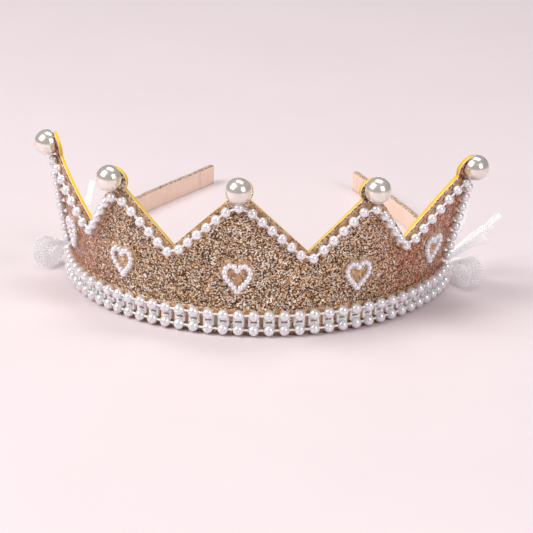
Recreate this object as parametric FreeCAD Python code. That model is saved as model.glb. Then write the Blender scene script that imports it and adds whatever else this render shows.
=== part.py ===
"""Child's glitter crown on a headband: five points, pearl trims, pearl hearts and two tulle bows.

Frame, in millimetres: X to the right as seen from the front, Y to the back of the head,
Z up. The origin is on the headband's bottom edge, at the front centre, in the middle of
the band's thickness. The crown stands on z = 0. Left and right are as seen from the front.

The crown panel is laid out flat as a pattern: s runs along the bottom edge from the
front centre, h runs up from the bottom edge. bend() wraps the pattern round the head.
"""
import FreeCAD, Part
import math
import os

V = FreeCAD.Vector
V2 = FreeCAD.Base.Vector2d

# Headband plan: the radius at the front opens out until the band is straight
FRONT_RADIUS = 58.0
STRAIGHT_AT = 180.0
BAND_END = 197.5
BAND_HEIGHT = 6.3
FLEX_AT = 118.0
FLEX_GAP = 0.6

# Layers, each measured inwards from the outer face of the glitter facing
FACING = 0.45
INTERLINING = 0.30
BACKING = 0.85
GLUE_LINE = 0.12
RIBBON = 0.35
CORE = 1.50
LINING = 0.35
WRAP = 0.30
WRAP_LENGTH = 9.0

# Crown pattern
TIPS = ((0.0, 48.5), (40.2, 46.6), (78.3, 47.0))
VALLEYS = ((21.3, 27.4), (55.8, 26.7))
LOBE_RADIUS = 4.0
FOOT = 92.5
OUTER_EDGE_TOP = (80.85, 48.4)
HEARTS = ((-73.0, 18.0), (-40.5, 17.9), (-0.5, 18.7), (38.0, 17.7), (71.5, 19.0))

# Lean and curl of the panel, in degrees
END_LEAN = 12.0
LEAN_HEIGHT = 14.0
CURL = 0.21
RIGHT_CURL = 0.086
LEFT_CURL = -0.115

# Pearls, each raised off the facing by a thin spot of glue
GLUE_SPOT = 0.1
TIP_PEARL = 4.2
TIP_STAND = 2.0
TIP_RISE = 1.4
EDGE_PEARL = 1.6
EDGE_STAND = 1.3
EDGE_PITCH = 4.1
EDGE_INSET = 2.0
EDGE_TIP_BEND = 5.0
EDGE_VALLEY_BEND = 3.0
EDGE_END_BEND = 3.4
EDGE_FOOT = 10.4
THREAD = 0.35
BASE_PEARL = 1.75
BASE_STAND = 1.5
BASE_PITCH = 4.7
BASE_COLUMNS = 19
BASE_LOW = 2.2
BASE_HIGH = 7.0
SPACER = (3.5, 3.2, 0.9)
SPACER_SLOT = (2.1, 0.7)
LINK = 0.35
HEART_WIDTH = 8.1
HEART_BEAD = 0.95
HEART_BEADS = 20
HEART_STRETCH = 1.26
HEART_BASE = 0.5

# Bows
BOW_AT = 97.0
BOW_HEIGHT = 7.0
KNOT = (7.0, 4.6, 5.2)
KNOT_ROUND = 1.2

PANEL = FACING + INTERLINING + BACKING
BAND_OUT = PANEL + GLUE_LINE
BAND_IN = BAND_OUT + RIBBON + CORE
MID_BAND = BAND_OUT + 0.5 * (RIBBON + CORE + LINING)


# ---------------------------------------------------------------- plan and pattern

def heading(s):
    """Direction of the plan curve at s, in radians: 0 at the front, then turning back."""
    return (s - s ** 3 / (3.0 * STRAIGHT_AT ** 2)) / FRONT_RADIUS


def plan(s, inwards=0.0):
    """Point of the plan curve at s on z = 0, moved inwards from the facing's outer face."""
    steps = 2 * max(2, int(abs(s) / 4.0) + 1)
    dx = s / steps
    x = y = 0.0
    for i in range(steps + 1):
        weight = 1 if i in (0, steps) else (4 if i % 2 else 2)
        x += weight * math.cos(heading(i * dx))
        y += weight * math.sin(heading(i * dx))
    point = V(x * dx / 3.0, y * dx / 3.0 - MID_BAND, 0.0)
    return point - outward(s) * inwards


def outward(s):
    return V(math.sin(heading(s)), -math.cos(heading(s)), 0.0)


def lean(s, h):
    """Outward tilt of the panel from upright at pattern point (s, h), in radians."""
    t = min(max(h / LEAN_HEIGHT, 0.0), 1.0)
    ramp = t * t * (3.0 - 2.0 * t)
    side = max(abs(s) - 37.6, 0.0) / 37.6
    curl = CURL + (RIGHT_CURL if s > 0 else LEFT_CURL) * side ** 2
    return math.radians(END_LEAN * (s / 94.0) ** 2 * ramp + curl * max(h, 0.0))


def bend(s, h, out=0.0):
    """Where pattern point (s, h) lies on the bent panel, out from the facing's outer face."""
    steps = 12
    dh = h / steps
    run = rise = 0.0
    for i in range(steps):
        tilt = lean(s, (i + 0.5) * dh)
        run += math.sin(tilt) * dh
        rise += math.cos(tilt) * dh
    tilt = lean(s, h)
    point = plan(s) + outward(s) * run + V(0, 0, rise)
    return point + (outward(s) * math.cos(tilt) - V(0, 0, math.sin(tilt))) * out


def knots(first, last, spans):
    return [first + (last - first) * i / spans for i in range(spans + 1)]


def greville(grid):
    full = [grid[0]] * 3 + grid + [grid[-1]] * 3
    return [sum(full[i + 1:i + 4]) / 3.0 for i in range(len(grid) + 2)]


def panel_surface(out):
    """Cubic surface whose own parameters are s and h."""
    along = knots(-95.0, 95.0, 38)
    up = knots(-2.0, 58.0, 12)
    poles = [[bend(s, h, out) for h in greville(up)] for s in greville(along)]
    ends = lambda grid: [4] + [1] * (len(grid) - 2) + [4]
    surface = Part.BSplineSurface()
    surface.buildFromPolesMultsKnots(poles, ends(along), ends(up), along, up, False, False, 3, 3)
    return surface


# ---------------------------------------------------------------- crown panel

def meet(start, target, centre, radius):
    """First point from start towards target that lies at radius from centre."""
    dx, dy = target[0] - start[0], target[1] - start[1]
    fx, fy = start[0] - centre[0], start[1] - centre[1]
    a = dx * dx + dy * dy
    b = 2.0 * (fx * dx + fy * dy)
    c = fx * fx + fy * fy - radius * radius
    t = (-b - math.sqrt(b * b - 4.0 * a * c)) / (2.0 * a)
    return (start[0] + t * dx, start[1] + t * dy)


def half_outline():
    """Right half of the outline, from the centre lobe's top to the foot.

    Each entry is (start, end, lobe centre), with None for the centre of a straight edge.
    """
    centre, middle, end = TIPS
    inner, outer = VALLEYS
    corners = [
        ((centre[0], centre[1] + LOBE_RADIUS), None),
        (meet(inner, centre, centre, LOBE_RADIUS), centre),
        (inner, None),
        (meet(inner, middle, middle, LOBE_RADIUS), None),
        (meet(outer, middle, middle, LOBE_RADIUS), middle),
        (outer, None),
        (meet(outer, end, end, LOBE_RADIUS), None),
        (meet((FOOT, 0.0), OUTER_EDGE_TOP, end, LOBE_RADIUS), end),
        ((FOOT, 0.0), None),
    ]
    return [(a[0], b[0], b[1]) for a, b in zip(corners, corners[1:])]


def mirrored(point):
    return None if point is None else (-point[0], point[1])


def outline_curves():
    """The whole outline in the pattern plane, in order, clockwise from the left foot."""
    right = half_outline()
    left = [(mirrored(b), mirrored(a), mirrored(c)) for a, b, c in reversed(right)]
    third = FOOT / 3.0
    stops = (FOOT, third, -third, -FOOT)
    bottom = [((a, 0.0), (b, 0.0), None) for a, b in zip(stops, stops[1:])]
    return [pattern_curve(*segment) for segment in left + right + bottom]


def pattern_curve(start, end, lobe):
    if lobe is None:
        return Part.Geom2d.Line2dSegment(V2(*start), V2(*end))
    a0 = math.atan2(start[1] - lobe[1], start[0] - lobe[0])
    a1 = math.atan2(end[1] - lobe[1], end[0] - lobe[0])
    while a1 > a0:
        a1 -= 2.0 * math.pi
    half = 0.5 * (a0 + a1)
    top = (lobe[0] + LOBE_RADIUS * math.cos(half), lobe[1] + LOBE_RADIUS * math.sin(half))
    return Part.Geom2d.ArcOfCircle2d(V2(*start), V2(*top), V2(*end))


def solid_from(faces):
    shell = Part.makeShell(faces)
    shell.sewShape()
    solid = Part.Solid(shell)
    return solid if solid.Volume > 0 else solid.reversed()


def panel_layer(outer, inner):
    """Closed sheet between two depths, cut to the crown's outline."""
    faces = []
    rims = []
    for depth in (outer, inner):
        surface = panel_surface(-depth)
        rim = [curve.toShape(surface) for curve in outline_curves()]
        faces.append(Part.Face(surface, Part.Wire(rim)))
        rims.append(rim)
    faces += [Part.makeRuledSurface(a, b) for a, b in zip(*rims)]
    return solid_from(faces)


# ---------------------------------------------------------------- headband

def plan_edge(first, last, inwards):
    count = max(6, int((last - first) / 7.0))
    curve = Part.BSplineCurve()
    curve.interpolate([plan(first + (last - first) * i / count, inwards) for i in range(count + 1)])
    return curve.toShape()


def strip(first, last, outer, inner, low, high):
    """Upright strip along the plan curve between two depths and two heights."""
    near = plan_edge(first, last, outer)
    far = plan_edge(first, last, inner)
    ends = [Part.makeLine(plan(s, outer), plan(s, inner)) for s in (first, last)]
    wire = Part.Wire([near, ends[1], far, ends[0]])
    face = Part.Face(wire)
    face.translate(V(0, 0, low))
    return face.extrude(V(0, 0, high - low))


def band_core(first, last):
    return strip(first, last, BAND_OUT + RIBBON, BAND_IN, RIBBON, BAND_HEIGHT - RIBBON)


def glitter_ribbon(first, last):
    """Ribbon over the band's outer face, folded over its top and bottom edges."""
    block = strip(first, last, BAND_OUT, BAND_IN, 0.0, BAND_HEIGHT)
    return block.cut(band_core(first, last))


def satin_lining(first, last):
    return strip(first, last, BAND_IN, BAND_IN + LINING, 0.0, BAND_HEIGHT)


def end_wrap(side):
    """Satin folded round the end of an arm and glued to both of its faces."""
    first, last = BAND_END - WRAP_LENGTH, BAND_END + WRAP
    outer = strip(first, last, BAND_OUT - WRAP, BAND_IN + LINING + WRAP, 0.0, BAND_HEIGHT)
    band = strip(first - 1.0, BAND_END, BAND_OUT, BAND_IN + LINING, -1.0, BAND_HEIGHT + 1.0)
    return on_side(outer.cut(band), side)


def on_side(shape, side):
    """The right-hand shape as it is, or its mirror image on the left."""
    return shape if side > 0 else shape.mirror(V(0, 0, 0), V(1, 0, 0))


# ---------------------------------------------------------------- pearls

def frame_at(s, h, out=0.0):
    """Point, outward normal and along direction of the facing at pattern point (s, h)."""
    along = bend(s + 0.05, h) - bend(s - 0.05, h)
    up = bend(s, h + 0.05) - bend(s, h - 0.05)
    normal = along.cross(up)
    normal.normalize()
    along.normalize()
    return bend(s, h) + normal * out, normal, along


def seat(s, h, stand):
    """Centre, outward normal and along direction of a pearl that stands off the facing."""
    return frame_at(s, h, stand + GLUE_SPOT)


def pearl(s, h, radius, stand):
    """Pearl with a flat back, glued to the facing."""
    centre, normal, _ = seat(s, h, stand)
    flat = -math.degrees(math.asin(stand / radius))
    return Part.makeSphere(radius, centre, normal, flat, 90.0, 360.0)


def rod(start, end, radius):
    return Part.makeCylinder(radius, (end - start).Length, start, end - start)


def link(a, b, trim, radius):
    """Short rod between two pearl centres, trimmed by the pearls' own reach at each end."""
    step = b - a
    step.normalize()
    return rod(a + step * trim, b - step * trim, radius)


def edge_path():
    """Line of the edge pearls on the right half, as close points from the centre outwards."""
    centre, middle, end = TIPS
    inner, outer = VALLEYS
    edges = [(mirrored(inner), centre), (centre, inner), (inner, middle), (middle, outer),
             (outer, end), (OUTER_EDGE_TOP, (FOOT, 0.0))]
    lines = [inset_line(a, b) for a, b in edges]
    corners = [cross(p, q) for p, q in zip(lines, lines[1:])]
    bends = [EDGE_TIP_BEND, EDGE_VALLEY_BEND] * 2 + [EDGE_END_BEND]
    foot = cross(lines[-1], ((0.0, EDGE_FOOT), (1.0, EDGE_FOOT)))
    points = []
    before = lines[0][0]
    for i, (corner, radius) in enumerate(zip(corners, bends)):
        after = corners[i + 1] if i + 1 < len(corners) else foot
        points += rounded(before, corner, after, radius)
        before = corner
    points.append(foot)
    return densify([p for p in points if p[0] > -0.01])


def inset_line(a, b):
    """The edge from a to b moved into the panel, which lies on its right."""
    dx, dy = b[0] - a[0], b[1] - a[1]
    length = math.hypot(dx, dy)
    nx, ny = dy / length * EDGE_INSET, -dx / length * EDGE_INSET
    return ((a[0] + nx, a[1] + ny), (b[0] + nx, b[1] + ny))


def cross(p, q):
    """Crossing point of two lines, each given by two points."""
    (x1, y1), (x2, y2) = p
    (x3, y3), (x4, y4) = q
    det = (x1 - x2) * (y3 - y4) - (y1 - y2) * (x3 - x4)
    a, b = x1 * y2 - y1 * x2, x3 * y4 - y3 * x4
    return ((a * (x3 - x4) - (x1 - x2) * b) / det, (a * (y3 - y4) - (y1 - y2) * b) / det)


def rounded(before, corner, after, radius):
    """Points of the arc that rounds a corner between two straight runs."""
    u = unit(before, corner)
    w = unit(after, corner)
    half = 0.5 * math.acos(u[0] * w[0] + u[1] * w[1])
    middle = unit((u[0] + w[0], u[1] + w[1]), (0.0, 0.0))
    reach = radius / math.sin(half)
    hub = (corner[0] + middle[0] * reach, corner[1] + middle[1] * reach)
    towards_corner = math.atan2(-middle[1], -middle[0])
    turn = 0.5 * math.pi - half
    side = -1.0 if u[0] * w[1] - u[1] * w[0] > 0 else 1.0
    angles = [towards_corner + side * turn * i / 8.0 for i in range(-8, 9)]
    return [(hub[0] + radius * math.cos(a), hub[1] + radius * math.sin(a)) for a in angles]


def unit(point, origin):
    dx, dy = point[0] - origin[0], point[1] - origin[1]
    length = math.hypot(dx, dy)
    return (dx / length, dy / length)


def densify(points):
    fine = []
    for a, b in zip(points, points[1:]):
        count = max(1, int(math.hypot(b[0] - a[0], b[1] - a[1]) / 0.1))
        fine += [(a[0] + (b[0] - a[0]) * i / count, a[1] + (b[1] - a[1]) * i / count)
                 for i in range(count)]
    return fine + [points[-1]]


def edge_sites():
    """Pattern points of the edge pearls, from the left foot over every point to the right."""
    sites = [(0.0, edge_path()[0][1])]
    for point in edge_path():
        if math.dist(point, sites[-1]) >= EDGE_PITCH:
            sites.append(point)
    return [mirrored(p) for p in reversed(sites[1:])] + sites


def edge_pearls():
    return [pearl(s, h, EDGE_PEARL, EDGE_STAND) for s, h in edge_sites()]


def edge_thread():
    centres = [seat(s, h, EDGE_STAND)[0] for s, h in edge_sites()]
    trim = math.sqrt(EDGE_PEARL ** 2 - THREAD ** 2)
    return [link(a, b, trim, THREAD) for a, b in zip(centres, centres[1:])]


def base_columns():
    return [BASE_PITCH * k for k in range(-BASE_COLUMNS, BASE_COLUMNS + 1)]


def base_row(h):
    return [pearl(s, h, BASE_PEARL, BASE_STAND) for s in base_columns()]


def block(wide, high, low, top):
    """Block between two heights, its middle over the origin."""
    return Part.makeBox(wide, high, top - low, V(-0.5 * wide, -0.5 * high, low))


def spacer():
    """Slotted plate that joins the two pearls of a column, lying on z = 0."""
    wide, high, thick = SPACER
    return block(wide, high, 0.0, thick).cut(block(*SPACER_SLOT, -0.1, thick + 0.1))


def base_trim_links():
    """Slotted spacers between the two pearls of each column, and links from column to column."""
    parts = []
    trim = math.sqrt(BASE_PEARL ** 2 - LINK ** 2)
    for h in (BASE_LOW, BASE_HIGH):
        centres = [seat(s, h, BASE_STAND)[0] for s in base_columns()]
        parts += [link(a, b, trim, LINK) for a, b in zip(centres, centres[1:])]
    plate = spacer()
    for s in base_columns():
        balls = [Part.makeSphere(BASE_PEARL, seat(s, h, BASE_STAND)[0]) for h in (BASE_LOW, BASE_HIGH)]
        parts += place(plate, s, 0.5 * (BASE_LOW + BASE_HIGH), GLUE_SPOT).cut(balls).Solids
    return parts


# ---------------------------------------------------------------- pearl hearts

def heart_point(t):
    """Heart curve of unit width, drawn out in height, with its notch at the top for t = 0."""
    x = 16.0 * math.sin(t) ** 3
    y = 13.0 * math.cos(t) - 5.0 * math.cos(2 * t) - 2.0 * math.cos(3 * t) - math.cos(4 * t)
    return V(x / 32.0, HEART_STRETCH * (y + 2.5) / 32.0, 0.0)


def heart_beads():
    """Bead centres, evenly spaced round the heart."""
    fine = [heart_point(2.0 * math.pi * i / 720.0) * HEART_WIDTH for i in range(721)]
    reach = [0.0]
    for a, b in zip(fine, fine[1:]):
        reach.append(reach[-1] + (b - a).Length)
    beads = []
    for k in range(HEART_BEADS):
        goal = (k + 0.5) * reach[-1] / HEART_BEADS
        beads.append(fine[next(i for i, r in enumerate(reach) if r >= goal)])
    return beads


def heart():
    """Beads moulded together on a thin base, lying flat on z = 0."""
    lift = V(0, 0, HEART_BASE)
    beads = [Part.makeSphere(HEART_BEAD, b + lift, V(0, 0, 1), 0.0, 90.0, 360.0) for b in heart_beads()]
    pads = [Part.makeCylinder(HEART_BEAD, HEART_BASE, b) for b in heart_beads()]
    return beads[0].multiFuse(beads[1:] + pads).removeSplitter()


def place(shape, s, h, out):
    """Copy of a shape, its x along the pattern, its y up it and its z outwards."""
    point, normal, along = frame_at(s, h, out)
    up = normal.cross(along)
    matrix = FreeCAD.Matrix(along.x, up.x, normal.x, point.x,
                            along.y, up.y, normal.y, point.y,
                            along.z, up.z, normal.z, point.z,
                            0.0, 0.0, 0.0, 1.0)
    copy = shape.copy()
    copy.Placement = FreeCAD.Placement(matrix)
    return copy


# ---------------------------------------------------------------- tulle bows

def bow_centre(side):
    s = side * BOW_AT
    return plan(s, BAND_OUT) + outward(s) * (0.5 * KNOT[1]) + V(0, 0, BOW_HEIGHT)


def bow_axes(side):
    """Forwards along the band, outwards and up, at a bow."""
    s = side * BOW_AT
    back = V(math.cos(heading(s)), math.sin(heading(s)), 0.0) * side
    return back * -1.0, outward(s), V(0, 0, 1)


def knot(side):
    """Rounded block, its flat back on the band's outer face."""
    forwards, out, _ = bow_axes(side)
    body = Part.makeBox(*KNOT, V(*KNOT) * -0.5)
    body = body.makeFillet(KNOT_ROUND, body.Edges)
    turn = math.degrees(math.atan2(forwards.y, forwards.x))
    body.rotate(V(0, 0, 0), V(0, 0, 1), turn)
    body.translate(bow_centre(side))
    return body


def petal(side, towards, across, length, root, width, thick):
    """Closed loop of tulle as a plain solid: narrow at the knot and round at its far end."""
    forwards, out, up = bow_axes(side)
    x = forwards * towards[0] + out * towards[1] + up * towards[2]
    x.normalize()
    y = forwards * across[0] + out * across[1] + up * across[2]
    y = y - x * x.dot(y)
    y.normalize()
    z = x.cross(y)
    radius = 0.5 * width
    hub = x * (length - radius)
    a, b = y * (0.5 * root), y * radius
    arc = Part.Arc(hub + b, hub + x * radius, hub - b).toShape()
    lines = [Part.makeLine(a, hub + b), Part.makeLine(hub - b, a * -1.0), Part.makeLine(a * -1.0, a)]
    face = Part.Face(Part.Wire([lines[0], arc, lines[1], lines[2]]))
    face.translate(bow_centre(side) - z * (0.5 * thick))
    return face.extrude(z * thick)


# Each piece: where it points and what its width lies along, both as (forwards, out, up),
# then its length, width at the knot, full width and thickness
BOW_PIECES = {
    "left": {
        "loop_lower": ((0.64, 0.77, -0.12), (0.77, -0.64, 0.0), 13.5, 3.0, 8.5, 8.5),
        "loop_upper": ((-0.45, 0.05, 0.80), (1.0, 0.0, 0.2), 16.0, 3.0, 9.0, 2.6),
        "tail": ((-0.88, -0.20, 0.43), (0.4, 0.1, 0.9), 27.0, 2.4, 6.0, 1.2),
    },
    "right": {
        "loop_lower": ((0.64, 0.77, -0.12), (0.77, -0.64, 0.0), 13.5, 3.0, 8.5, 8.5),
        "loop_upper": ((-0.45, 0.25, 0.85), (1.0, 0.0, 0.2), 19.0, 3.0, 9.0, 2.6),
        "tail": ((-0.24, 0.79, 0.56), (0.5, -0.2, 0.8), 24.5, 2.6, 5.0, 1.2),
    },
}


def bow(name, side):
    """Knot, two loops and a tail, each trimmed to meet the pieces before it face to face."""
    pieces = {"knot": knot(side)}
    for piece, shape in BOW_PIECES[name].items():
        body = petal(side, *shape).cut(list(pieces.values()))
        pieces[piece] = max(body.Solids, key=lambda solid: solid.Volume)
    return {"bow_" + piece + "_" + name: body for piece, body in pieces.items()}


# ---------------------------------------------------------------- assembly

def headband_nodes():
    front, arm = FLEX_AT - 0.5 * FLEX_GAP, FLEX_AT + 0.5 * FLEX_GAP
    nodes = {}
    for name, make in (("band_core", band_core), ("glitter_ribbon", glitter_ribbon),
                       ("satin_lining", satin_lining)):
        nodes[name + "_front"] = make(-front, front)
        nodes[name + "_arm_right"] = make(arm, BAND_END)
        nodes[name + "_arm_left"] = on_side(make(arm, BAND_END), -1)
    nodes["end_wrap_right"] = end_wrap(1)
    nodes["end_wrap_left"] = end_wrap(-1)
    return nodes


def panel_nodes():
    middle = FACING + INTERLINING
    return {
        "crown_facing": panel_layer(0.0, FACING),
        "crown_interlining": panel_layer(FACING, middle),
        "crown_backing": panel_layer(middle, PANEL),
    }


def pearl_nodes():
    nodes = {
        "edge_pearls": Part.makeCompound(edge_pearls()),
        "edge_thread": Part.makeCompound(edge_thread()),
        "base_pearls_upper": Part.makeCompound(base_row(BASE_HIGH)),
        "base_pearls_lower": Part.makeCompound(base_row(BASE_LOW)),
        "base_trim_links": Part.makeCompound(base_trim_links()),
    }
    sides = (("outer_left", -1, 2), ("left", -1, 1), ("centre", 1, 0), ("right", 1, 1), ("outer_right", 1, 2))
    motif = heart()
    for (name, side, tip), (s, h) in zip(sides, HEARTS):
        across, up = TIPS[tip]
        nodes["tip_pearl_" + name] = pearl(side * across, up + TIP_RISE, TIP_PEARL, TIP_STAND)
        nodes["pearl_heart_" + name] = place(motif, s, h, GLUE_SPOT)
    return nodes


def bow_nodes():
    return {**bow("left", -1), **bow("right", 1)}


def main():
    os.makedirs("parts", exist_ok=True)
    nodes = {}
    for group in (headband_nodes, panel_nodes, pearl_nodes, bow_nodes):
        nodes.update(group())
    for name, shape in nodes.items():
        shape.exportStep(os.path.join("parts", name + ".step"))
        low = shape.BoundBox.ZMin
        print(name, len(shape.Solids), "solids", round(shape.Volume, 1), "mm3, lowest", round(low, 2))
    pivot = plan(FLEX_AT, MID_BAND)
    print("flex pivot", round(pivot.x, 3), round(pivot.y, 3))


main()
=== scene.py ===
"""Looks of a child's glitter crown on a headband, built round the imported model.

Lengths are in millimetres up to the point where a mesh is made. s runs along the bottom
edge of the crown from its front centre, h runs up from that edge, and depth runs inwards
from the outer face of the glitter facing.
"""

import functools
import math

import bmesh
import bpy
from mathutils import Matrix, Vector, noise


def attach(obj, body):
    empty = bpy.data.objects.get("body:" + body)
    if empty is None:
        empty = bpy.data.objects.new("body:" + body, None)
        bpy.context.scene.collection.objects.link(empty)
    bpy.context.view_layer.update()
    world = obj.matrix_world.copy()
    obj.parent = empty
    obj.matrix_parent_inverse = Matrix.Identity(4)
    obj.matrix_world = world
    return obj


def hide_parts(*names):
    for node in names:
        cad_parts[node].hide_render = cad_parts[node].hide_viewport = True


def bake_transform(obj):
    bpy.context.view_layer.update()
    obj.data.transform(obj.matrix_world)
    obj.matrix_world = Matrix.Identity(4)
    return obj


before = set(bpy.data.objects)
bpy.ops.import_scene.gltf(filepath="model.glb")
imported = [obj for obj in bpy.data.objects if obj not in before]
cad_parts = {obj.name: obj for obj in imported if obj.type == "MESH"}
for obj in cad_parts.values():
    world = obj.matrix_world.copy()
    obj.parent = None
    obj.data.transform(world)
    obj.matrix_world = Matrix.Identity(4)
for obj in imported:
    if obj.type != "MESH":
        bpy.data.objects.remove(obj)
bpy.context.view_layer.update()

MM = 0.001
V = Vector
Z = Vector((0.0, 0.0, 1.0))

# Headband plan and layers, as in the design
FRONT_RADIUS = 58.0
STRAIGHT_AT = 180.0
BAND_END = 197.5
BAND_HEIGHT = 6.3
FLEX_AT = 118.0
BAND_OUT = 1.72
BAND_IN = 3.57
MID_BAND = 2.82
RIBBON = 0.35
LINING = 0.35
WRAP = 0.30
WRAP_LENGTH = 9.0
FLEX_REACH = 3.0
COVER_STEP = 0.75

# Lean and curl of the crown panel, in degrees
END_LEAN = 12.0
LEAN_HEIGHT = 14.0
CURL = 0.21
RIGHT_CURL = 0.086
LEFT_CURL = -0.115

# Crown pattern
TIPS = ((0.0, 48.5), (40.2, 46.6), (78.3, 47.0))
VALLEYS = ((21.3, 27.4), (55.8, 26.7))
FOOT = 92.5
OUTER_EDGE_TOP = (80.85, 48.4)
HEARTS = {
    "outer_left": (-73.0, 18.0),
    "left": (-40.5, 17.9),
    "centre": (-0.5, 18.7),
    "right": (38.0, 17.7),
    "outer_right": (71.5, 19.0),
}
HEART_WIDTH = 8.1
HEART_STRETCH = 1.26
EDGE_INSET = 2.0
EDGE_BENDS = (5.0, 3.0, 5.0, 3.0, 3.4)
EDGE_FOOT = 10.4

# Bows
BOW_AT = 97.0
BOW_HEIGHT = 7.0
KNOT = (7.0, 4.6, 5.2)
NET_PITCH = 1.0
GATHERS = 5
TAIL_SPREAD = 1.6
FOLD_DEEPENS = 0.35
LOWER_DROOP = 1.6
NET_STARTS = 1.5
FLOOR_GAP = 0.5
# Where each piece points and what its width lies along, both as (forwards, out, up), then
# its length, width at the knot, full width and thickness
LOWER_LOOP = ((0.64, 0.77, -0.12), (0.77, -0.64, 0.0), 13.5, 3.0, 8.5, 8.5)
BOW_PIECES = {
    "left": {
        "loop_lower": LOWER_LOOP,
        "loop_upper": ((-0.45, 0.05, 0.80), (1.0, 0.0, 0.2), 16.0, 3.0, 9.0, 2.6),
        "tail": ((-0.88, -0.20, 0.43), (0.4, 0.1, 0.9), 27.0, 2.4, 6.0, 1.2),
    },
    "right": {
        "loop_lower": LOWER_LOOP,
        "loop_upper": ((-0.45, 0.25, 0.85), (1.0, 0.0, 0.2), 19.0, 3.0, 9.0, 2.6),
        "tail": ((-0.24, 0.79, 0.56), (0.5, -0.2, 0.8), 24.5, 2.6, 5.0, 1.2),
    },
}
# Cut width and length, and a tail's area once its end is slanted. They are set from the area
# of the modelled net, since the real strips can't be measured.
KNOT_CUT = (10.0, 13.0)
LOWER_LOOP_CUT = (18.0, 29.0)
LOOP_CUTS = {"left": (18.0, 31.0), "right": (18.0, 36.0)}
TAIL_CUTS = {"left": ((17.0, 27.0), 340.0), "right": ((17.0, 24.5), 300.0)}


# ---------------------------------------------------------------- plan and pattern

def heading(s):
    return (s - s ** 3 / (3.0 * STRAIGHT_AT ** 2)) / FRONT_RADIUS


def outward(s):
    return V((math.sin(heading(s)), -math.cos(heading(s)), 0.0))


def backwards(s):
    """Direction of growing s."""
    return V((math.cos(heading(s)), math.sin(heading(s)), 0.0))


@functools.lru_cache(maxsize=None)
def plan_xy(s):
    steps = 2 * max(2, int(abs(s) / 4.0) + 1)
    dx = s / steps
    x = y = 0.0
    for i in range(steps + 1):
        weight = 1 if i in (0, steps) else (4 if i % 2 else 2)
        x += weight * math.cos(heading(i * dx))
        y += weight * math.sin(heading(i * dx))
    return x * dx / 3.0, y * dx / 3.0 - MID_BAND


def plan(s, depth=0.0, z=0.0):
    """Point at s along the plan curve, at a depth inwards from the facing and a height."""
    x, y = plan_xy(s)
    return V((x, y, z)) - outward(s) * depth


def lean(s, h):
    t = min(max(h / LEAN_HEIGHT, 0.0), 1.0)
    ramp = t * t * (3.0 - 2.0 * t)
    side = max(abs(s) - 37.6, 0.0) / 37.6
    curl = CURL + (RIGHT_CURL if s > 0 else LEFT_CURL) * side ** 2
    return math.radians(END_LEAN * (s / 94.0) ** 2 * ramp + curl * max(h, 0.0))


def bend(s, h, out=0.0):
    """Where pattern point (s, h) lies on the bent panel, out from the facing's outer face."""
    steps = 12
    dh = h / steps
    run = rise = 0.0
    for i in range(steps):
        tilt = lean(s, (i + 0.5) * dh)
        run += math.sin(tilt) * dh
        rise += math.cos(tilt) * dh
    tilt = lean(s, h)
    point = plan(s) + outward(s) * run + Z * rise
    return point + (outward(s) * math.cos(tilt) - Z * math.sin(tilt)) * out


def ripple(s, h, size, seed=0.0):
    """Smooth noise from -1 to 1 over the pattern, with bumps about size across."""
    return noise.noise(V((s / size, h / size, seed)))


# ---------------------------------------------------------------- node helpers

def add(tree, kind, inputs=(), **settings):
    """New shader node. Each input is a value for its socket, or a socket to link from."""
    made = tree.nodes.new("ShaderNode" + kind)
    for name, value in settings.items():
        setattr(made, name, value)
    for name, value in dict(inputs).items():
        if isinstance(value, bpy.types.NodeSocket):
            tree.links.new(value, made.inputs[name])
        else:
            made.inputs[name].default_value = value
    return made


def finish_of(name, **skin):
    """New material, with constants set on its Principled shader. Returns it, its tree and shader."""
    made = bpy.data.materials.new(name)
    made.use_nodes = True
    tree = made.node_tree
    shader = tree.nodes["Principled BSDF"]
    for socket, value in skin.items():
        shader.inputs[socket.replace("_", " ")].default_value = value
    return made, tree, shader


def place_of(tree):
    return add(tree, "TexCoord").outputs["Object"]


def ramp(tree, factor, stops, interpolation="LINEAR"):
    """Colour ramp through (position, (r, g, b)) stops."""
    made = add(tree, "ValToRGB", {"Fac": factor})
    made.color_ramp.interpolation = interpolation
    elements = made.color_ramp.elements
    while len(elements) < len(stops):
        elements.new(0.5)
    for element, (position, colour) in zip(elements, stops):
        element.position = position
        element.color = (*colour, 1.0)
    return made.outputs["Color"]


def mix(tree, factor, a, b, blend="MIX"):
    made = add(tree, "Mix", data_type="RGBA", blend_type=blend)
    for index, value in ((0, factor), (6, a), (7, b)):
        if isinstance(value, bpy.types.NodeSocket):
            tree.links.new(value, made.inputs[index])
        else:
            made.inputs[index].default_value = value
    return made.outputs[2]


def maths(tree, operation, a, b=0.0, clamp=False):
    return add(tree, "Math", {0: a, 1: b}, operation=operation, use_clamp=clamp).outputs[0]


def clouds(tree, place, size, detail=3.0, rough=0.5):
    """Noise with features about size millimetres across."""
    scale = 1.0 / (size * MM)
    return add(tree, "TexNoise", {"Vector": place, "Scale": scale, "Detail": detail,
                                  "Roughness": rough}).outputs["Fac"]


def bump(tree, height, strength, distance):
    """Bump normal, with its full height in millimetres."""
    return add(tree, "Bump", {"Height": height, "Strength": strength,
                              "Distance": distance * MM}).outputs["Normal"]


def join(tree, socket, shader, name):
    tree.links.new(socket, shader.inputs[name])


# ---------------------------------------------------------------- materials

def flakes(tree, place, size):
    """Random colour of each glitter flake, about size millimetres across."""
    return add(tree, "TexVoronoi", {"Vector": place, "Scale": 1.0 / (size * MM), "Randomness": 1.0},
               feature="F1").outputs["Color"]


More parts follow.
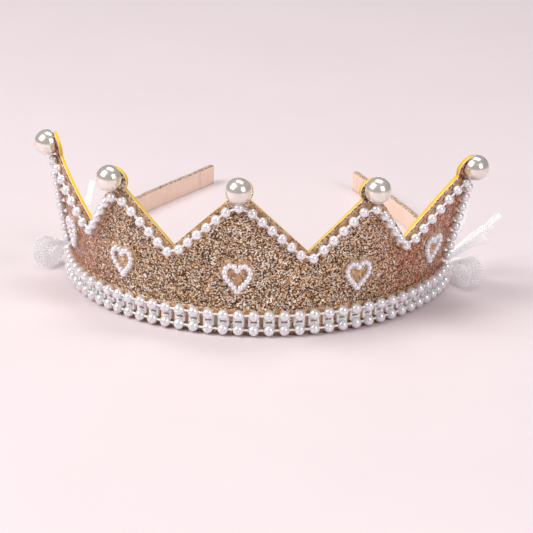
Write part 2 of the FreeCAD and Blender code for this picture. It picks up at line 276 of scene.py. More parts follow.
def tilted(tree, flake, amount):
    """Normal tipped a different way on each flake."""
    spread = add(tree, "VectorMath", {0: flake, 1: (0.5, 0.5, 0.5)}, operation="SUBTRACT").outputs[0]
    tip = add(tree, "VectorMath", {0: spread, "Scale": amount}, operation="SCALE").outputs[0]
    flat = add(tree, "NewGeometry").outputs["Normal"]
    both = add(tree, "VectorMath", {0: flat, 1: tip}, operation="ADD").outputs[0]
    return add(tree, "VectorMath", {0: both}, operation="NORMALIZE").outputs[0]


# Tones of the glitter flakes: the copper and gold stops are the flakes' own colour, the near-white stops
# are painted glints and the near-black stops painted shade.
FLAKE_GLINT_AND_SHADE_TONES = (
    (0.00, (0.030, 0.010, 0.005)),
    (0.20, (0.13, 0.048, 0.016)),
    (0.36, (0.38, 0.18, 0.072)),
    (0.54, (0.66, 0.40, 0.19)),
    (0.70, (0.94, 0.74, 0.50)),
    (0.82, (1.0, 0.97, 0.90)),
)
# Redder tones for the two ends: partly a copper tone of the glitter and partly a painted reflection of the
# pink surroundings, with painted glints in the near-white stops.
COPPER_REFLECTION_AND_GLINT_TONES = (
    (0.00, (0.055, 0.014, 0.006)),
    (0.20, (0.27, 0.066, 0.022)),
    (0.40, (0.55, 0.165, 0.062)),
    (0.68, (0.76, 0.32, 0.165)),
    (0.82, (0.96, 0.62, 0.42)),
    (0.93, (1.0, 0.92, 0.80)),
)


def glitter_sheet():
    """Coarse glitter, each flake its own tone and tilt, with painted glints and painted shade among the
    flake tones; redder towards the two ends, partly a copper tone of the glitter and partly a painted
    reflection of the pink surroundings.
    """
    made, tree, shader = finish_of("glitter_flakes", Metallic=0.45, Roughness=0.32, Coat_Weight=0.15)
    place = place_of(tree)
    flake = flakes(tree, place, 0.36)
    tone = add(tree, "SeparateColor", {"Color": flake})
    front = ramp(tree, tone.outputs[0], FLAKE_GLINT_AND_SHADE_TONES, "CONSTANT")
    side = ramp(tree, tone.outputs[0], COPPER_REFLECTION_AND_GLINT_TONES, "CONSTANT")
    # Painted reflection: the redder tones are blended in by distance from the middle, in random patches.
    across = add(tree, "SeparateXYZ", {"Vector": place}).outputs["X"]
    reach = add(tree, "MapRange", {"Value": maths(tree, "ABSOLUTE", across), "From Min": 0.034,
                                   "From Max": 0.060}, interpolation_type="SMOOTHSTEP").outputs[0]
    patches = clouds(tree, place, 9.0)
    copper_reflection_share = maths(tree, "MULTIPLY", reach, maths(tree, "ADD", patches, 0.60), clamp=True)
    colour = mix(tree, copper_reflection_share, front, side)
    shade = ramp(tree, clouds(tree, place, 2.2, 4.0), ((0.35, (0.78, 0.74, 0.70)), (0.62, (1.0, 1.0, 1.0))))
    join(tree, mix(tree, 1.0, colour, shade, "MULTIPLY"), shader, "Base Color")
    join(tree, tilted(tree, flake, 1.15), shader, "Normal")
    join(tree, add(tree, "MapRange", {"Value": tone.outputs[1], "To Min": 0.15, "To Max": 0.55}).outputs[0],
         shader, "Roughness")
    return made


def glitter_ribbon():
    """Fine rose-bronze glitter on a ribbon; its near-white flakes are painted glints."""
    made, tree, shader = finish_of("glitter_ribbon_weave", Metallic=0.2, Roughness=0.3)
    place = place_of(tree)
    flake = flakes(tree, place, 0.34)
    tone = add(tree, "SeparateColor", {"Color": flake})
    # Flake tones: the rose-bronze is the ribbon's own, the near-white stops are painted glints.
    colour = ramp(tree, tone.outputs[0], (
        (0.00, (0.26, 0.11, 0.055)),
        (0.18, (0.52, 0.28, 0.16)),
        (0.40, (0.74, 0.50, 0.34)),
        (0.66, (0.94, 0.78, 0.63)),
        (0.84, (1.0, 0.97, 0.92)),
    ), "CONSTANT")
    worn = ramp(tree, clouds(tree, place, 3.0), ((0.3, (0.80, 0.74, 0.68)), (0.7, (1.0, 1.0, 1.0))))
    join(tree, mix(tree, 1.0, colour, worn, "MULTIPLY"), shader, "Base Color")
    join(tree, tilted(tree, flake, 0.5), shader, "Normal")
    return made


def satin():
    """Peach satin: fine weft ribs across the band, slow shading and a soft sheen."""
    made, tree, shader = finish_of("peach_satin", Roughness=0.42, Sheen_Weight=0.35, Sheen_Roughness=0.35)
    cloth = add(tree, "UVMap", uv_map="cloth").outputs[0]
    stretched = add(tree, "Mapping", {"Vector": cloth, "Scale": (1.0, 0.12, 1.0)}).outputs[0]
    threads = clouds(tree, stretched, 0.16, 2.0)
    slubs = clouds(tree, stretched, 1.1, 3.0)
    slow = clouds(tree, place_of(tree), 7.0)
    colour = ramp(tree, slow, ((0.3, (0.88, 0.655, 0.545)), (0.7, (0.95, 0.745, 0.635))))
    streak = ramp(tree, slubs, ((0.35, (0.96, 0.945, 0.935)), (0.65, (1.0, 1.0, 1.0))))
    fine = ramp(tree, threads, ((0.3, (0.94, 0.93, 0.92)), (0.7, (1.0, 1.0, 1.0))))
    colour = mix(tree, 1.0, colour, streak, "MULTIPLY")
    join(tree, mix(tree, 1.0, colour, fine, "MULTIPLY"), shader, "Base Color")
    join(tree, bump(tree, threads, 0.5, 0.03), shader, "Normal")
    return made


def cream_paper():
    """Pressed fibre sheet between the glitter and the foam."""
    made, tree, shader = finish_of("cream_fibre", Roughness=0.8)
    place = place_of(tree)
    fibre = clouds(tree, place, 0.25, 4.0, 0.7)
    cream = ramp(tree, fibre, ((0.3, (0.74, 0.60, 0.42)), (0.7, (0.90, 0.80, 0.64))))
    join(tree, cream, shader, "Base Color")
    join(tree, bump(tree, fibre, 0.5, 0.04), shader, "Normal")
    return made


def yellow_foam():
    """Golden foam with fine closed cells, painted shade darkening each cell's hollow."""
    made, tree, shader = finish_of("golden_foam", Roughness=0.62, Sheen_Weight=0.12)
    place = place_of(tree)
    cells = add(tree, "TexVoronoi", {"Vector": place, "Scale": 1.0 / (0.22 * MM)}, feature="F1")
    dust = clouds(tree, place, 5.0, 5.0, 0.6)
    colour = ramp(tree, dust, ((0.25, (0.76, 0.47, 0.004)), (0.7, (0.87, 0.59, 0.010))))
    # Painted shade: each cell is darkened towards its middle, where its hollow lies.
    pit_shade = ramp(tree, cells.outputs["Distance"], ((0.0, (0.82, 0.78, 0.72)), (0.35, (1.0, 1.0, 1.0))))
    join(tree, mix(tree, 1.0, colour, pit_shade, "MULTIPLY"), shader, "Base Color")
    join(tree, bump(tree, cells.outputs["Distance"], 0.4, 0.05), shader, "Normal")
    return made


def pearl(name, tint, glow, metallic, size):
    """Pearl lacquer: a soft lustrous body under a hard clear coat."""
    made, tree, shader = finish_of(name, Metallic=metallic, Roughness=0.2, Coat_Weight=1.0,
                                   Coat_Roughness=0.03, Coat_IOR=1.7, Subsurface_Weight=0.2)
    shader.inputs["Subsurface Scale"].default_value = 0.8 * MM
    place = place_of(tree)
    cloud = clouds(tree, place, size, 2.0)
    join(tree, ramp(tree, cloud, ((0.3, tint), (0.7, glow))), shader, "Base Color")
    skin = clouds(tree, place, size * 0.12, 2.0)
    join(tree, add(tree, "MapRange", {"Value": skin, "To Min": 0.14, "To Max": 0.26}).outputs[0],
         shader, "Roughness")
    join(tree, bump(tree, skin, 0.12, 0.02), shader, "Normal")
    return made


def white_link():
    """Moulded white thread with a slight lustre."""
    made, tree, shader = finish_of("white_thread", Roughness=0.3, Coat_Weight=0.4, Coat_Roughness=0.1,
                                   Subsurface_Weight=0.35)
    shader.inputs["Subsurface Scale"].default_value = 0.8 * MM
    cloud = clouds(tree, place_of(tree), 0.8)
    white = ramp(tree, cloud, ((0.3, (0.90, 0.87, 0.88)), (0.7, (0.97, 0.95, 0.96))))
    join(tree, white, shader, "Base Color")
    join(tree, bump(tree, cloud, 0.2, 0.03), shader, "Normal")
    return made


def band_plastic():
    made, tree, shader = finish_of("moulded_band", Roughness=0.45)
    cloud = clouds(tree, place_of(tree), 1.5)
    colour = ramp(tree, cloud, ((0.3, (0.62, 0.56, 0.50)), (0.7, (0.72, 0.66, 0.60))))
    join(tree, colour, shader, "Base Color")
    return made


def glue():
    """Amber glue soaked over the glitter: flakes show only faintly under a smooth skin."""
    made, tree, shader = finish_of("amber_glue", Roughness=0.3, Coat_Weight=0.6, Coat_Roughness=0.12,
                                   Subsurface_Weight=0.1)
    shader.inputs["Subsurface Scale"].default_value = 0.5 * MM
    place = place_of(tree)
    flake = flakes(tree, place, 0.36)
    tone = add(tree, "SeparateColor", {"Color": flake}).outputs[0]
    # The drowned flakes keep their painted glints and painted shade, seen faintly under the glue.
    drowned = ramp(tree, tone, FLAKE_GLINT_AND_SHADE_TONES, "CONSTANT")
    pool = clouds(tree, place, 1.6, 3.0)
    amber = ramp(tree, pool, ((0.25, (0.30, 0.115, 0.030)), (0.5, (0.54, 0.27, 0.095)),
                              (0.75, (0.70, 0.44, 0.22))))
    thin = add(tree, "MapRange", {"Value": clouds(tree, place, 1.8), "From Min": 0.44, "From Max": 0.62,
                                  "To Min": 0.10, "To Max": 0.85}).outputs[0]
    join(tree, mix(tree, thin, amber, drowned), shader, "Base Color")
    join(tree, bump(tree, pool, 0.6, 0.12), shader, "Normal")
    return made


def tulle():
    """White nylon net: crossing threads with sheer diamonds between them, and a faint painted glow that
    stands in for light passing through the net.
    """
    # Painted light: the faint white emission is a glow standing in for light coming through the net.
    made, tree, shader = finish_of("white_tulle", Roughness=0.5, Sheen_Weight=0.4, Sheen_Roughness=0.4,
                                   Emission_Color=(1.0, 0.98, 0.99, 1.0), Emission_Strength=0.07)
    cloth = add(tree, "SeparateXYZ", {"Vector": add(tree, "UVMap", uv_map="cloth").outputs[0]})
    pitch = NET_PITCH * MM
    across, along = cloth.outputs["X"], cloth.outputs["Y"]
    threads = None
    for operation in ("ADD", "SUBTRACT"):
        diagonal = maths(tree, "DIVIDE", maths(tree, operation, across, along), pitch)
        gap = maths(tree, "PINGPONG", diagonal, 0.5)
        threads = gap if threads is None else maths(tree, "MINIMUM", threads, gap)
    cover = add(tree, "MapRange", {"Value": threads, "From Min": 0.07, "From Max": 0.17,
                                   "To Min": 0.85, "To Max": 0.24}).outputs[0]
    cloud = clouds(tree, place_of(tree), 3.0)
    white = ramp(tree, cloud, ((0.3, (0.92, 0.90, 0.92)), (0.7, (0.98, 0.97, 0.98))))
    join(tree, white, shader, "Base Color")
    join(tree, cover, shader, "Alpha")
    join(tree, bump(tree, threads, 0.15, 0.03), shader, "Normal")
    return made


FINISHES = {
    "glitter_sheet": glitter_sheet(),
    "glitter_ribbon": glitter_ribbon(),
    "satin": satin(),
    "cream_paper": cream_paper(),
    "yellow_foam": yellow_foam(),
    "large_pearl": pearl("ivory_pearl", (0.80, 0.74, 0.67), (0.90, 0.85, 0.78), 0.7, 3.0),
    "small_pearl": pearl("white_pearl", (0.80, 0.775, 0.81), (0.91, 0.89, 0.92), 0.35, 1.2),
    "white_link": white_link(),
    "band_plastic": band_plastic(),
}
GLUE = glue()
TULLE = tulle()


# ---------------------------------------------------------------- mesh helpers

def piece(name, points, faces, material, cloth=None):
    """New smooth mesh object. cloth gives each point's place on the flat cloth."""
    mesh = bpy.data.meshes.new(name)
    mesh.from_pydata([p * MM for p in points], [], faces)
    if cloth:
        layer = mesh.uv_layers.new(name="cloth")
        for loop in mesh.loops:
            u, v = cloth[loop.vertex_index]
            layer.data[loop.index].uv = (u * MM, v * MM)
    mesh.materials.append(material)
    mesh.shade_smooth()
    tidy = bmesh.new()
    tidy.from_mesh(mesh)
    bmesh.ops.recalc_face_normals(tidy, faces=tidy.faces)
    tidy.to_mesh(mesh)
    tidy.free()
    made = bpy.data.objects.new(name, mesh)
    bpy.context.scene.collection.objects.link(made)
    return made


def lattice(rows, columns, loop=False):
    """Quads between neighbouring rows of points. loop closes each row on itself."""
    faces = []
    for r in range(rows - 1):
        for c in range(columns if loop else columns - 1):
            a, b = r * columns + c, r * columns + (c + 1) % columns
            faces.append((a, b, b + columns, a + columns))
    return faces


def tube_faces(rows, columns):
    """A swept closed section with both ends capped."""
    first = tuple(reversed(range(columns)))
    last = tuple((rows - 1) * columns + c for c in range(columns))
    return lattice(rows, columns, loop=True) + [first, last]


def slab(name, grid, thickness, material):
    """Closed film from a grid of (s, h, out) rows, its underside thickness further in."""
    rows, columns = len(grid), len(grid[0])
    top = [bend(s, h, out) for row in grid for s, h, out in row]
    below = [bend(s, h, out - thickness) for row in grid for s, h, out in row]
    count = rows * columns
    faces = lattice(rows, columns)
    faces += [tuple(i + count for i in reversed(f)) for f in lattice(rows, columns)]
    rim = list(range(columns))
    rim += [r * columns + columns - 1 for r in range(1, rows)]
    rim += [(rows - 1) * columns + c for c in range(columns - 2, -1, -1)]
    rim += [r * columns for r in range(rows - 2, 0, -1)]
    faces += [(a, a + count, b + count, b) for a, b in zip(rim, rim[1:] + rim[:1])]
    return piece(name, top + below, faces, material)


# ---------------------------------------------------------------- headband covers

def arc(centre, radius, first, last, steps):
    """Points of an arc in the section plane, as (depth, z), angles in degrees."""
    angles = [math.radians(first + (last - first) * i / steps) for i in range(steps + 1)]
    return [(centre[0] + radius * math.cos(a), centre[1] + radius * math.sin(a)) for a in angles]


def turned(points, sign):
    """The points, or their mirror image where sign is -1."""
    return [V((p.x * sign, p.y, p.z)) for p in points]


def sides(name, points, faces, material, cloth, nodes):
    """The right-hand piece and its mirror image."""
    start, end = plan(FLEX_AT - FLEX_REACH) * MM, plan(FLEX_AT + FLEX_REACH) * MM
    for side, sign in (("right", 1.0), ("left", -1.0)):
        made = piece(name + "_" + side, turned(points, sign), faces, material, cloth)
        first, last = turned((start, end), sign)
        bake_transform(made)
        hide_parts(*nodes, nodes[0].replace("_front", "_arm_" + side))


def ribbon_covers():
    """Glitter ribbon glued over the band's outer face and folded over both of its edges."""
    corner = 0.55
    low, high = corner, BAND_HEIGHT - corner
    section = [(BAND_IN + 0.1, BAND_HEIGHT)]
    section += arc((BAND_OUT + corner, high), corner, 90, 180, 4)
    section += arc((BAND_OUT + corner, low), corner, 180, 270, 4)
    section += [(BAND_IN + 0.1, 0.0), (BAND_IN + 0.1, RIBBON), (BAND_OUT + RIBBON, RIBBON)]
    section += [(BAND_OUT + RIBBON, BAND_HEIGHT - RIBBON), (BAND_IN + 0.1, BAND_HEIGHT - RIBBON)]
    rows = int(BAND_END / COVER_STEP) + 1
    points, cloth = [], []
    for r in range(rows):
        s = BAND_END * r / (rows - 1)
        for index, (depth, z) in enumerate(section):
            swell = 0.22 + 0.12 * ripple(s, z, 3.0, 2.0) if z > high else 0.0
            points.append(plan(s, depth, z + swell))
            cloth.append((s, index))
    sides("glitter_ribbon_cover", points, tube_faces(rows, len(section)), FINISHES["glitter_ribbon"],
          cloth, ["glitter_ribbon_front"])


def pucker(s, z):
    """Depth of the small creases in the satin, in millimetres; they deepen at the arm's end."""
    end = max(0.0, (s - BAND_END + 16.0) / 16.0)
    return (0.05 + 0.10 * end) * ripple(s, z * 0.25, 1.7, 5.0) + 0.05 * ripple(s, z, 9.0, 1.0)


def lining_covers():
    """Satin strip glued along the band's inner face, its edges turned under."""
    inner = BAND_IN + LINING
    corner = 0.17
    top, foot = BAND_HEIGHT - corner, corner
    face = [(inner, foot + (top - foot) * i / 8.0) for i in range(1, 8)]
    section = [(BAND_IN, BAND_HEIGHT), (BAND_IN, 0.0)]
    section += arc((inner - corner, foot), corner, -90, 0, 3)
    section += face
    section += arc((inner - corner, top), corner, 0, 90, 3)
    rows = int(BAND_END / COVER_STEP) + 1
    points, cloth = [], []
    for r in range(rows):
        s = BAND_END * r / (rows - 1)
        for depth, z in section:
            raised = pucker(s, z) if depth > inner - 0.5 * corner else 0.0
            points.append(plan(s, depth + raised, z))
            cloth.append((s, z + depth))
    sides("satin_lining_cover", points, tube_faces(rows, len(section)), FINISHES["satin"],
          cloth, ["satin_lining_front"])


def wrap_path():
    """Plan of the satin folded round an arm's end, as (s, depth, along, inwards) with its outward turn."""
    inner, outer = BAND_IN + LINING, BAND_OUT
    start = BAND_END - WRAP_LENGTH
    corner = 0.7
    path = [(start + (BAND_END - corner - start) * i / 12.0, inner, 0.0, 1.0) for i in range(13)]
    for a in range(1, 6):
        turn = math.radians(90.0 * a / 6.0)
        path.append((BAND_END - corner + corner * math.sin(turn), inner - corner + corner * math.cos(turn),
                     math.sin(turn), math.cos(turn)))
    path += [(BAND_END, inner - corner, 1.0, 0.0), (BAND_END, outer + corner, 1.0, 0.0)]
    for a in range(1, 6):
        turn = math.radians(90.0 * a / 6.0)
        path.append((BAND_END - corner + corner * math.cos(turn), outer + corner - corner * math.sin(turn),
                     math.cos(turn), -math.sin(turn)))
    path += [(BAND_END - corner - (BAND_END - corner - start) * i / 12.0, outer, 0.0, -1.0)
             for i in range(13)]
    return path


def end_wraps():
    """Satin folded round each arm's end, gathered into a few soft creases."""
    levels = 9
    points, cloth = [], []
    travelled = 0.0
    path = wrap_path()
    whole = sum(math.dist(a[:2], b[:2]) for a, b in zip(path, path[1:]))
    for index, (s, depth, along, inwards) in enumerate(path):
        if index:
            travelled += math.dist(path[index - 1][:2], (s, depth))
        ring = []
        for side in (1, 0):
            order = range(levels) if side else range(levels - 1, -1, -1)
            for k in order:
                z = BAND_HEIGHT * k / (levels - 1)
                edge = min(z, BAND_HEIGHT - z)
                tuck = 0.12 * max(0.0, 1.0 - edge / 0.5) ** 2
                crease = 0.16 * ripple(travelled, z * 0.2, 1.5, 9.0)
                thinned = min(1.0, 0.25 + min(travelled, whole - travelled) / 2.5)
                lift = (WRAP + crease - tuck) * thinned if side else 0.04
                flat = plan(s, depth + inwards * lift, z)
                ring.append(flat + backwards(s) * along * lift)
                cloth.append((travelled, z))
        points += ring
    faces = tube_faces(len(path), 2 * levels)
    for side, sign in (("right", 1.0), ("left", -1.0)):
        made = piece("end_wrap_cover_" + side, turned(points, sign), faces, FINISHES["satin"],
                     cloth)
        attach(made, "arm_" + side)
        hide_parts("end_wrap_" + side)


# ---------------------------------------------------------------- glue

def inset(a, b):
    """The line from a to b, moved in from the panel's edge to where the pearls lie."""
    dx, dy = b[0] - a[0], b[1] - a[1]
    length = math.hypot(dx, dy)
    nx, ny = dy / length * EDGE_INSET, -dx / length * EDGE_INSET
    return (a[0] + nx, a[1] + ny), (b[0] + nx, b[1] + ny)


def crossing(p, q):
    """Where two lines meet, each given by two points."""
    (x1, y1), (x2, y2) = p
    (x3, y3), (x4, y4) = q
    det = (x1 - x2) * (y3 - y4) - (y1 - y2) * (x3 - x4)
    a, b = x1 * y2 - y1 * x2, x3 * y4 - y3 * x4
    return (a * (x3 - x4) - (x1 - x2) * b) / det, (a * (y3 - y4) - (y1 - y2) * b) / det


def unit(point, origin=(0.0, 0.0)):
    dx, dy = point[0] - origin[0], point[1] - origin[1]
    length = math.hypot(dx, dy)
    return dx / length, dy / length


def rounded(before, corner, after, radius):
    """Points of the arc that rounds a corner between two straight runs."""
    u = unit(before, corner)
    w = unit(after, corner)
    half = 0.5 * math.acos(u[0] * w[0] + u[1] * w[1])
    middle = unit((u[0] + w[0], u[1] + w[1]))
    reach = radius / math.sin(half)
    hub = (corner[0] + middle[0] * reach, corner[1] + middle[1] * reach)
    towards_corner = math.atan2(-middle[1], -middle[0])
    turn = 0.5 * math.pi - half
    side = -1.0 if u[0] * w[1] - u[1] * w[0] > 0 else 1.0
    angles = [towards_corner + side * turn * i / 8.0 for i in range(-8, 9)]
    return [(hub[0] + radius * math.cos(a), hub[1] + radius * math.sin(a)) for a in angles]


def flip(point):
    return -point[0], point[1]


def edge_line():
    """Line that the edge pearls follow, from the left foot to the right foot."""
    centre, middle, end = TIPS
    inner, outer = VALLEYS
    edges = [(flip(inner), centre), (centre, inner), (inner, middle), (middle, outer),
             (outer, end), (OUTER_EDGE_TOP, (FOOT, 0.0))]
    lines = [inset(a, b) for a, b in edges]
    corners = [crossing(p, q) for p, q in zip(lines, lines[1:])]
    foot = crossing(lines[-1], ((0.0, EDGE_FOOT - 2.0), (1.0, EDGE_FOOT - 2.0)))
    points = []
    before = lines[0][0]
    for i, (corner, radius) in enumerate(zip(corners, EDGE_BENDS)):
        after = corners[i + 1] if i + 1 < len(corners) else foot
        points += rounded(before, corner, after, radius)
        before = corner
    right = [p for p in points if p[0] > 0.01] + [foot]
    return [flip(p) for p in reversed(right)] + right


def stations(points, step):
    """Evenly spaced points along a line, each with its unit direction."""
    made = []
    ahead = 0.0
    for a, b in zip(points, points[1:]):
        length = math.dist(a, b)
        while ahead < length:
            t = ahead / length
            made.append((a[0] + (b[0] - a[0]) * t, a[1] + (b[1] - a[1]) * t,
                         (b[0] - a[0]) / length, (b[1] - a[1]) / length))
            ahead += step
        ahead -= length
    return made


def edge_glue():
    """Glue squeezed out along both sides of the edge pearls."""
    grid = []
    for s, h, ds, dh in stations(edge_line(), 0.4):
        row = []
        left = 1.5 + 0.35 * ripple(s, h, 1.9, 3.0)
        right = 1.9 + 0.65 * ripple(s, h, 1.9, 7.0)
        for k in range(-4, 5):
            across = (left if k < 0 else right) * k / 4.0
            out = 0.10 - 0.12 * abs(k / 4.0) ** 3 + 0.03 * ripple(s + across, h, 0.9, 4.0)
            row.append((s - dh * across, h + ds * across, out))
        grid.append(row)
    made = slab("edge_glue", grid, 0.15, GLUE)
    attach(made, "crown")


def base_glue():
    """Glue under the pearl trim along the crown's foot."""
    grid = []
    columns = 460
    for i in range(columns + 1):
        s = -91.4 + 182.8 * i / columns
        top = 8.4 + 0.8 * ripple(s, 0.0, 1.7, 11.0)
        row = []
        for k in range(13):
            t = k / 12.0
            h = 0.15 + (top - 0.15) * t
            out = 0.11 - 0.13 * abs(2.0 * t - 1.0) ** 6 + 0.03 * ripple(s, h, 1.1, 12.0)
            row.append((s, h, out))
        grid.append(row)
    made = slab("base_glue", grid, 0.15, GLUE)
    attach(made, "crown")


def heart_radius(angle):
    """Reach of a heart's outline from its middle, in millimetres, by angle from straight up."""
    best = 0.0
    for i in range(181):
        t = 2.0 * math.pi * i / 180.0
        x = 16.0 * math.sin(t) ** 3
        y = 13.0 * math.cos(t) - 5.0 * math.cos(2 * t) - 2.0 * math.cos(3 * t) - math.cos(4 * t) + 2.5
        y *= HEART_STRETCH
        off = (math.atan2(x, y) - angle + math.pi) % (2.0 * math.pi) - math.pi
        if abs(off) < 0.08:
            best = max(best, math.hypot(x, y) * HEART_WIDTH / 32.0)
    return best


def heart_glue():
    """A pool of glue under each heart, spreading furthest above it."""
    rings, spokes = 12, 60
    angles = [2.0 * math.pi * k / spokes for k in range(spokes)]
    reach = [heart_radius(a) for a in angles]
    for seed, (name, (s0, h0)) in enumerate(HEARTS.items()):
        top, below = [bend(s0, h0, 0.1)], [bend(s0, h0, -0.06)]
        for r in range(1, rings + 1):
            t = r / rings
            for a, length in zip(angles, reach):
                uneven = 0.5 * noise.noise(V((math.cos(a) * 2.0, math.sin(a) * 2.0, seed)))
                spread = 1.1 + 0.95 * max(0.0, math.cos(a)) + uneven
                radius = (length + spread) * t
                s, h = s0 + radius * math.sin(a), h0 + radius * math.cos(a)
                out = 0.10 - 0.12 * t ** 5 + 0.03 * ripple(s, h, 1.0, 13.0)
                top.append(bend(s, h, out))
                below.append(bend(s, h, out - 0.15))
        count = len(top)
        faces = [(0, 1 + k, 1 + (k + 1) % spokes) for k in range(spokes)]
        for r in range(rings - 1):
            for k in range(spokes):
                a, b = 1 + r * spokes + k, 1 + r * spokes + (k + 1) % spokes
                faces.append((a, a + spokes, b + spokes, b))
        faces += [tuple(i + count for i in reversed(f)) for f in faces]
        last = 1 + (rings - 1) * spokes
        for k in range(spokes):
            a, b = last + k, last + (k + 1) % spokes
            faces.append((a, a + count, b + count, b))
        made = piece("heart_glue_" + name, top + below, faces, GLUE)
        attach(made, "crown")


# ---------------------------------------------------------------- tulle bows

def bow_centre(side):
    s = side * BOW_AT
    return plan(s, BAND_OUT, BOW_HEIGHT) + outward(s) * (0.5 * KNOT[1])


def bow_axes(side):
    """Forwards along the band, outwards and up, at a bow."""
    s = side * BOW_AT
    return backwards(s) * -side, outward(s), Z


def aimed(side, direction):
    forwards, out, up = bow_axes(side)
    return (forwards * direction[0] + out * direction[1] + up * direction[2]).normalized()


def piece_axes(side, towards, across):
    """Unit axes of a piece of a bow: along it, across it and square to both."""
    x = aimed(side, towards)
    y = aimed(side, across)
    y = (y - x * x.dot(y)).normalized()
    return x, y, x.cross(y)


def grounded(point):
    """The point, lifted smoothly so that the net stays just above the floor."""
    if point.z > FLOOR_GAP + 1.0:
        return point
    return V((point.x, point.y, FLOOR_GAP + math.exp(point.z - FLOOR_GAP - 1.0)))


def net(name, grid, flat):
    """Single layer of tulle from rows of points. flat is its cut width and length."""
    rows, columns = len(grid), len(grid[0])
    width, length = flat
    points = [grounded(p) for row in grid for p in row]
    cloth = [(width * c / (columns - 1), length * r / (rows - 1))
             for r in range(rows) for c in range(columns)]
    made = piece(name + "_cover", points, lattice(rows, columns), TULLE, cloth)
    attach(made, "crown")
    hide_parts(name)


def pleat(v, u, count, seed):
    """Height of the gathers across a strip, from -1 to 1, each a little different."""
    drift = 0.9 * noise.noise(V((v * 1.3, u * 1.6, seed)))
    drift += 0.35 * noise.noise(V((v * 3.0, u * 3.0, seed + 9.0)))
    return math.sin(math.pi * count * v + 2.6 * drift + seed)


def loop(name, side, shape, flat, droop, seed):
    """Strip of net gathered at the knot, carried out, turned over softly and brought back."""
    towards, across, length, root, width, thick = shape
    x, y, z = piece_axes(side, towards, across)
    centre = bow_centre(side)
    rows, columns = 57, 97
    grid = []
    for i in range(rows):
        u = i / (rows - 1)
        open_out = math.sin(math.pi * u)
        reach = NET_STARTS + (length - NET_STARTS) * open_out ** 0.85
        rise = 0.58 * thick * math.sin(2.0 * math.pi * u) * (0.35 + 0.65 * open_out)
        turn = 0.5 * math.pi * (1.0 - abs(2.0 * u - 1.0)) ** 3
        away = x * math.sin(turn) + z * (math.cos(turn) * (1.0 if u < 0.5 else -1.0))
        half = 0.5 * (root + (width - root) * open_out ** 1.1)
        fold = 0.80 + FOLD_DEEPENS * open_out
        row = []
        for c in range(columns):
            v = 2.0 * c / (columns - 1) - 1.0
            sweep = 1.0 - 0.10 * open_out * v * v
            stray = 0.9 * open_out * noise.noise(V((v * 1.1, u * 2.3, seed + 4.0)))
            point = centre + x * (reach * sweep) + z * rise + y * (half * v)
            point += away * (fold * pleat(v, u, GATHERS, seed) + stray)
            row.append(point - Z * (droop * open_out ** 2 * (1.0 + 0.25 * v)))
        grid.append(row)
    net(name, grid, flat)


def tail(name, side, shape, flat, area, seed):
    """End of the strip: gathered at the knot, cut on a slant and fanned into soft flutes."""
    towards, across, length, root, width, thick = shape
    x, y, z = piece_axes(side, towards, across)
    centre = bow_centre(side)
    rows, columns = 45, 97
    grid = []
    for i in range(rows):
        u = i / (rows - 1)
        half = 0.5 * (root + (TAIL_SPREAD * width - root) * math.sin(0.5 * math.pi * u) ** 1.2)
        fold = thick * (0.55 + 0.25 * u)
        row = []
        for c in range(columns):
            v = 2.0 * c / (columns - 1) - 1.0
            slant = 1.0 - 0.45 * u * (0.5 - 0.5 * v) - 0.10 * u * abs(math.sin(4.0 * v))
            wander = 1.6 * u * noise.noise(V((v * 0.8, u * 2.0, seed)))
            reach = NET_STARTS + (length - NET_STARTS) * u * slant
            point = centre + x * reach + y * (half * v + wander)
            curl = 2.0 * u * u * noise.noise(V((u * 2.2, v, seed + 2.0)))
            point += z * (fold * pleat(v, u, GATHERS, seed) + curl)
            row.append(point)
        grid.append(row)
    net(name, grid, flat)


def knot(name, side, seed):
    """Short strip of net wound tightly round the gathers."""
    forwards, out, up = bow_axes(side)
    centre = bow_centre(side)
    rows, columns = 61, 49
    grid = []
    for i in range(rows):
        turn = 2.0 * math.pi * 0.97 * i / (rows - 1)
        row = []
        for c in range(columns):
            v = 2.0 * c / (columns - 1) - 1.0
            swell = 1.0 - 0.20 * v * v + 0.10 * pleat(v, i / 30.0, 5, seed)
            across = math.copysign(abs(math.cos(turn)) ** 0.8, math.cos(turn)) * 0.5 * KNOT[1] * swell
            upward = math.copysign(abs(math.sin(turn)) ** 0.8, math.sin(turn)) * 0.5 * KNOT[2] * swell
            row.append(centre + forwards * (0.5 * KNOT[0] * v) + out * max(across, 0.02 - 0.5 * KNOT[1])
                       + up * upward)
        grid.append(row)
    net(name, grid, KNOT_CUT)


def bows():
    for name, side in (("left", -1), ("right", 1)):
        shapes = BOW_PIECES[name]
        knot("bow_knot_" + name, side, 1.0 + side)
        loop("bow_loop_lower_" + name, side, shapes["loop_lower"], LOWER_LOOP_CUT, LOWER_DROOP,
             3.0 + side)
        loop("bow_loop_upper_" + name, side, shapes["loop_upper"], LOOP_CUTS[name], 0.0, 6.0 + side)
        tail("bow_tail_" + name, side, shapes["tail"], *TAIL_CUTS[name], 8.0 + side)


# ---------------------------------------------------------------- scene

def finish_cad_nodes():
    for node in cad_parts.values():
        for slot in node.material_slots:
            name = slot.material.name.split(".")[0]
            if name in FINISHES:
                slot.material = FINISHES[name]


def floor():
    mesh = bpy.data.meshes.new("floor")
    reach = 6.0
    corners = [(-reach, -reach, 0.0), (reach, -reach, 0.0), (reach, reach, 0.0), (-reach, reach, 0.0)]
    mesh.from_pydata(corners, [], [(0, 1, 2, 3)])
    made, tree, shader = finish_of("pale_floor", Roughness=0.6)
    cloud = clouds(tree, place_of(tree), 60.0)
    tone = ramp(tree, cloud, ((0.3, (0.80, 0.715, 0.735)), (0.7, (0.82, 0.735, 0.755))))
    join(tree, tone, shader, "Base Color")
    mesh.materials.append(made)
    ground = bpy.data.objects.new("floor", mesh)
    bpy.context.scene.collection.objects.link(ground)


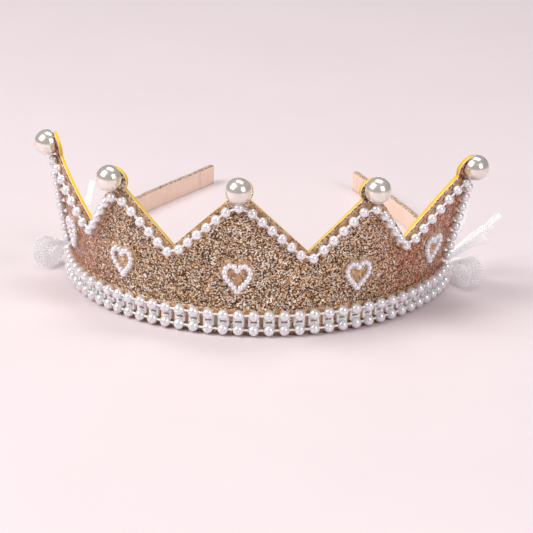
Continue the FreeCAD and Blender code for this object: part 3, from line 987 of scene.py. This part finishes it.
def softbox(name, place, aim, width, height, power, tint):
    data = bpy.data.lights.new(name, "AREA")
    data.shape = "RECTANGLE"
    data.size, data.size_y = width, height
    data.energy = power
    data.color = tint
    lamp = bpy.data.objects.new(name, data)
    lamp.location = place
    lamp.rotation_euler = (V(aim) - V(place)).to_track_quat("-Z", "Y").to_euler()
    bpy.context.scene.collection.objects.link(lamp)


def lights():
    aim = (0.0, 0.04, 0.02)
    softbox("key_left", (-0.75, -0.35, 0.85), aim, 0.75, 0.8, 11.5, (1.0, 0.98, 0.96))
    softbox("fill_right", (0.95, -0.75, 0.70), aim, 0.6, 0.75, 6.5, (1.0, 0.97, 0.98))
    softbox("top", (0.1, 0.35, 1.25), aim, 0.9, 0.5, 5.5, (1.0, 0.98, 0.98))
    world = bpy.data.worlds.new("studio")
    world.use_nodes = True
    back = world.node_tree.nodes["Background"]
    back.inputs["Color"].default_value = (0.66, 0.62, 0.64, 1.0)
    back.inputs["Strength"].default_value = 0.42
    bpy.context.scene.world = world


def camera():
    """A long lens a little to the right of the front, looking slightly down."""
    distance = 0.9302
    azimuth, elevation, roll = (math.radians(a) for a in (5.116, 19.215, 1.06))
    target = V((8.39, -2.82, 23.05)) * MM
    back = V((math.sin(azimuth) * math.cos(elevation), -math.cos(azimuth) * math.cos(elevation),
              math.sin(elevation)))
    level = V((math.cos(azimuth), math.sin(azimuth), 0.0))
    rise = back.cross(level)
    right = level * math.cos(roll) + rise * math.sin(roll)
    upward = rise * math.cos(roll) - level * math.sin(roll)
    data = bpy.data.cameras.new("camera")
    data.sensor_width = 36.0
    data.lens = 202.63
    data.clip_start = 0.01
    eye = bpy.data.objects.new("camera", data)
    eye.matrix_world = Matrix((right, upward, back)).transposed().to_4x4()
    eye.location = target + back * distance
    bpy.context.scene.collection.objects.link(eye)
    bpy.context.scene.camera = eye


finish_cad_nodes()
ribbon_covers()
lining_covers()
end_wraps()
edge_glue()
base_glue()
heart_glue()
bows()
floor()
lights()
camera()
bpy.context.scene.view_settings.view_transform = "Standard"
